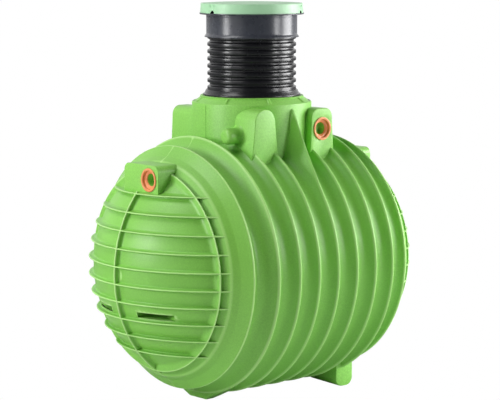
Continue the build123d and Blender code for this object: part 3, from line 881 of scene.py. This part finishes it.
class TANK_OT_lid(bpy.types.Operator):
    """Builds the lid with its finger notches and the shallow slots over them"""
    bl_idname = "tank.lid"
    bl_label = "Lid"

    def execute(self, context):
        sizes = context.scene.tank_shaft
        lo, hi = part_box("lid")
        z0, z1, r = float(lo[2]), float(hi[2]), float(hi[0])
        crown = z1 - LID_CROWN
        line = [(0.0, z1), (0.16, z1 - 0.0016), (0.30, z1 - 0.006), (r - 0.005, crown),
                (r - 0.0045, crown - 0.006), (r, z0), (r - LID_WALL, z0), (r - 0.011, crown - LID_WALL),
                (0.0, z1 - LID_WALL)]
        line = rounded(line, [0, 0.5, 0.5, 0.009, 0, 0.002, 0.002, 0.004, 0], 6.0)
        green = finish("pale green polypropylene")
        lid = add_piece("round_lid", *about_shaft(line, count=192), green, "lid")
        for i in range(sizes.notches):
            a = radians((i + 0.5) * 360 / sizes.notches)

            def across(along, y, z, a=a):
                return (along * cos(a) - y * sin(a), along * sin(a) + y * cos(a), z0 + z)

            cut_away(lid, *spindle([(r - 0.03, sizes.notch_r), (r + 0.03, sizes.notch_r)], across, 40))
            deep, out = r - SLOT_IN, r + 0.02
            plan = [(deep, -SLOT_HALF), (deep, SLOT_HALF), (out, SLOT_HALF), (out, -SLOT_HALF)]
            cut_away(lid, *stacked([[across(x, y, z) for x, y in plan] for z in SLOT_HEIGHTS]))
        lid.data.shade_smooth()
        lid.data.set_sharp_from_angle(angle=radians(35))
        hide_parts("lid")
        return {"FINISHED"}


# Feet
FOOT_ROUND = 0.74  # radius of the lower corners, as a share of half a foot's width
FOOT_LIFT = 0.012  # a rear foot's far end stands off the ground by this at its lower edge
LIFT_FADE = 0.1  # and less and less up to this height
FOOT_EASED = 0.006
# Front foot: height, half width (None for the solid's own), shift along the tank, half length
FRONT_LEVELS = ((0.0, 0.036, -0.027, 0.091), (0.022, 0.062, -0.010, 0.125), (0.055, None, 0.0, 0.180),
                (0.100, None, 0.0, 0.255), (0.230, None, 0.0, 0.255))


class TANK_OT_feet(bpy.types.Operator):
    """Builds the three feet with their round lower edges"""
    bl_idname = "tank.feet"
    bl_label = "Feet"

    def execute(self, context):
        green = finish("plain green polyethylene")
        for node, piece in (("rear_right_foot", "rear_right_stand"), ("rear_left_foot", "rear_left_stand"),
                            ("front_foot", "front_stand")):
            lo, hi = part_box(node)
            (x0, y0, _), (x1, y1, top) = map(float, lo), map(float, hi)
            mid, half = (x0 + x1) / 2, (x1 - x0) / 2
            if node.startswith("rear"):
                outline = [(-half, top), (-half, 0.0), (half, 0.0), (half, top)]
                outline = rounded(outline, half * FOOT_ROUND, 8.0)
                face, back = (y0, y1) if node == "rear_right_foot" else (y1, y0)

                def put(a, h, d, mid=mid, face=face, back=back):
                    lift = FOOT_LIFT * (1 - min(h / LIFT_FADE, 1.0))
                    return (mid + a, face + d * (back - face), h + d * lift)

                mesh = outline_block(outline, put, 1.0)
            else:
                mesh = stacked([[(mid + shift + sx * (wide or half), sy * long_y, z)
                                 for sx, sy in ((-1, -1), (1, -1), (1, 1), (-1, 1))]
                                for z, wide, shift, long_y in FRONT_LEVELS])
            foot = add_piece(piece, *mesh, green)
            bevelled(foot, FOOT_EASED)
            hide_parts(node)
        return {"FINISHED"}


# Stage
FLOOR_HALF = 60.0
FLOOR_COLOUR = (0.8, 0.8, 0.8, 1)
LAMP_REACH = 9.0  # lamps from the middle of the tank
LAMP_AIM = 1.2  # height they point at
WALL_FROM, WALL_TO = -0.25, 0.45  # where the room turns into the wall: in front (-1) to behind (1)
LENS, SENSOR, SEEN_TO = 144.0, 36.0, 200.0
TARGET = (-0.0094, 0.0081, 0.4252)  # what the camera points at, over the barrel's axis


class TANK_OT_stage(bpy.types.Operator):
    """Sets the floor, the lights and the camera"""
    bl_idname = "tank.stage"
    bl_label = "Stage"

    def execute(self, context):
        scene = context.scene
        stage = scene.tank_stage
        data = bpy.data.meshes.new("floor")
        r = FLOOR_HALF
        data.from_pydata([(-r, -r, 0), (r, -r, 0), (r, r, 0), (-r, r, 0)], [], [(0, 1, 2, 3)])
        floor = bpy.data.objects.new("floor", data)
        scene.collection.objects.link(floor)
        paint = bpy.data.materials.new("matt floor paint")
        paint.use_nodes = True
        tree = paint.node_tree
        shader = tree.nodes["Principled BSDF"]
        shader.inputs["Base Color"].default_value = FLOOR_COLOUR
        shader.inputs["Roughness"].default_value = 0.9
        glow = add_node(tree, "ShaderNodeEmission", Color=(1, 1, 1, 1), Strength=1.0)
        seen = add_node(tree, "ShaderNodeLightPath").outputs["Is Camera Ray"]
        mix = add_node(tree, "ShaderNodeMixShader",
                       [(seen, 0), (shader.outputs[0], 1), (glow.outputs[0], 2)])
        tree.links.new(mix.outputs[0], tree.nodes["Material Output"].inputs["Surface"])
        data.materials.append(paint)

        world = bpy.data.worlds.new("studio")
        scene.world = world
        world.use_nodes = True
        tree = world.node_tree
        soft = tree.nodes["Background"]
        soft.inputs["Color"].default_value = (1, 1, 1, 1)
        # The wall behind the tank is white and the room in front of it is dim
        turn = radians(stage.turn)
        ways = add_node(tree, "ShaderNodeTexCoord").outputs["Generated"]
        along = add_node(tree, "ShaderNodeVectorMath", [(ways, 0)], operation="DOT_PRODUCT")
        along.inputs[1].default_value = (-sin(turn), cos(turn), 0.0)
        wall = spread(tree, along.outputs["Value"], WALL_FROM, WALL_TO, stage.fill, stage.wall,
                      interpolation_type="SMOOTHSTEP")
        path = add_node(tree, "ShaderNodeLightPath")
        level = add_node(tree, "ShaderNodeMix", [(path.outputs["Is Glossy Ray"], "Factor")])
        level.inputs[2].default_value = stage.fill
        tree.links.new(wall, level.inputs[3])
        tree.links.new(level.outputs[0], soft.inputs["Strength"])
        white = add_node(tree, "ShaderNodeBackground", Color=(1, 1, 1, 1), Strength=1.0)
        mix = add_node(tree, "ShaderNodeMixShader",
                       [(path.outputs["Is Camera Ray"], 0), (soft.outputs[0], 1), (white.outputs[0], 2)])
        tree.links.new(mix.outputs[0], tree.nodes["World Output"].inputs["Surface"])

        # Name, degrees right of the camera, angle up, width, height, watts
        lamps = (("left softbox", -stage.key_angle, 15.0, 2.0, 2.6, stage.key),
                 ("front softbox", -stage.front_angle, 15.0, 4.0, 4.0, stage.front),
                 ("high softbox", -stage.key_angle, 55.0, 5.0, 4.0, stage.top),
                 ("right softbox", stage.side_angle, 13.0, 1.8, 2.4, stage.side),
                 ("rear softbox", stage.rear_angle, 15.0, 5.0, 4.0, stage.rear))
        for name, around, up, wide, tall, power in lamps:
            lamp = bpy.data.lights.new(name, "AREA")
            lamp.shape = "RECTANGLE"
            lamp.size, lamp.size_y = wide, tall
            lamp.energy = power
            lamp_object = bpy.data.objects.new(name, lamp)
            away = radians(stage.turn - 90 + around)
            reach = LAMP_REACH * cos(radians(up))
            rise = LAMP_AIM + LAMP_REACH * sin(radians(up))
            place = Vector((reach * cos(away), reach * sin(away), rise))
            lamp_object.location = place
            aim = Vector((0, 0, LAMP_AIM)) - place
            lamp_object.rotation_euler = aim.to_track_quat("-Z", "Y").to_euler()
            scene.collection.objects.link(lamp_object)

        tilt = radians(stage.tilt)
        back = Vector((sin(turn) * cos(tilt), -cos(turn) * cos(tilt), sin(tilt)))
        target = Vector(TARGET) + Vector((0, 0, AXIS_Z))
        camera = bpy.data.cameras.new("camera")
        camera.sensor_width = SENSOR
        camera.lens = LENS
        camera.clip_end = SEEN_TO
        eye = bpy.data.objects.new("camera", camera)
        eye.location = target + back * stage.distance
        eye.rotation_euler = (-back).to_track_quat("-Z", "Y").to_euler()
        scene.collection.objects.link(eye)
        scene.camera = eye
        scene.view_settings.view_transform = "Standard"
        return {"FINISHED"}


class StageSettings(bpy.types.PropertyGroup):
    """Camera and lights."""
    turn: number("Turn", "Camera's azimuth in degrees", -40.8258)
    tilt: number("Tilt", "Camera's height angle in degrees", 7.3451)
    distance: length("Distance", "Camera from its target", 14.7444)
    fill: number("Fill", "Strength of the even light", 0.04)
    wall: number("Wall", "Strength of the white wall behind", 1.0)
    key: number("Left softbox", "Power in watts", 410.0)
    front: number("Front softbox", "Power in watts", 60.0)
    front_angle: number("Front angle", "Degrees left of the camera", 36.0)
    key_angle: number("Left angle", "Degrees left of the camera", 66.0)
    side: number("Right softbox", "Power in watts", 240.0)
    side_angle: number("Right angle", "Degrees right of the camera", 66.0)
    rear: number("Rear softbox", "Power in watts", 850.0)
    rear_angle: number("Rear angle", "Degrees right of the camera", 101.0)
    top: number("High softbox", "Power in watts", 360.0)


class TANK_PT_sidebar(bpy.types.Panel):
    """Lists the tank's builders"""
    bl_label = "Holding tank"
    bl_idname = "TANK_PT_sidebar"
    bl_space_type = "VIEW_3D"
    bl_region_type = "UI"
    bl_category = "Tank"

    def draw(self, context):
        for operator in OPERATORS:
            self.layout.operator(operator.bl_idname)


SETTINGS = {"tank_colours": TankColours, "tank_shell": ShellSizes, "tank_neck": NeckSizes,
            "tank_shaft": ShaftSizes, "tank_stage": StageSettings}
OPERATORS = (TANK_OT_shell, TANK_OT_heads, TANK_OT_lugs, TANK_OT_neck, TANK_OT_feet, TANK_OT_shaft,
             TANK_OT_lid, TANK_OT_stage)


def register():
    for group in SETTINGS.values():
        bpy.utils.register_class(group)
    for name, group in SETTINGS.items():
        setattr(bpy.types.Scene, name, bpy.props.PointerProperty(type=group))
    for operator in OPERATORS + (TANK_PT_sidebar,):
        bpy.utils.register_class(operator)


def unregister():
    for operator in reversed(OPERATORS + (TANK_PT_sidebar,)):
        bpy.utils.unregister_class(operator)
    for name, group in SETTINGS.items():
        delattr(bpy.types.Scene, name)
        bpy.utils.unregister_class(group)


def main():
    register()
    bpy.ops.tank.shell()
    bpy.ops.tank.heads()
    bpy.ops.tank.lugs()
    bpy.ops.tank.neck()
    bpy.ops.tank.feet()
    bpy.ops.tank.shaft()
    bpy.ops.tank.lid()
    bpy.ops.tank.stage()
    names = {"green_shell": "green polyethylene", "black_riser": "black polypropylene",
             "grey_collar": "grey polypropylene", "pale_lid": "pale green polypropylene",
             "orange_eyelet": "orange polypropylene"}
    for subpart in frame["record"]["subparts"]:
        node = frame["nodes"][subpart["node"]]
        node.data.materials.clear()
        node.data.materials.append(finish(names[subpart["material_slot"]]))


if __name__ == "__main__":
    main()
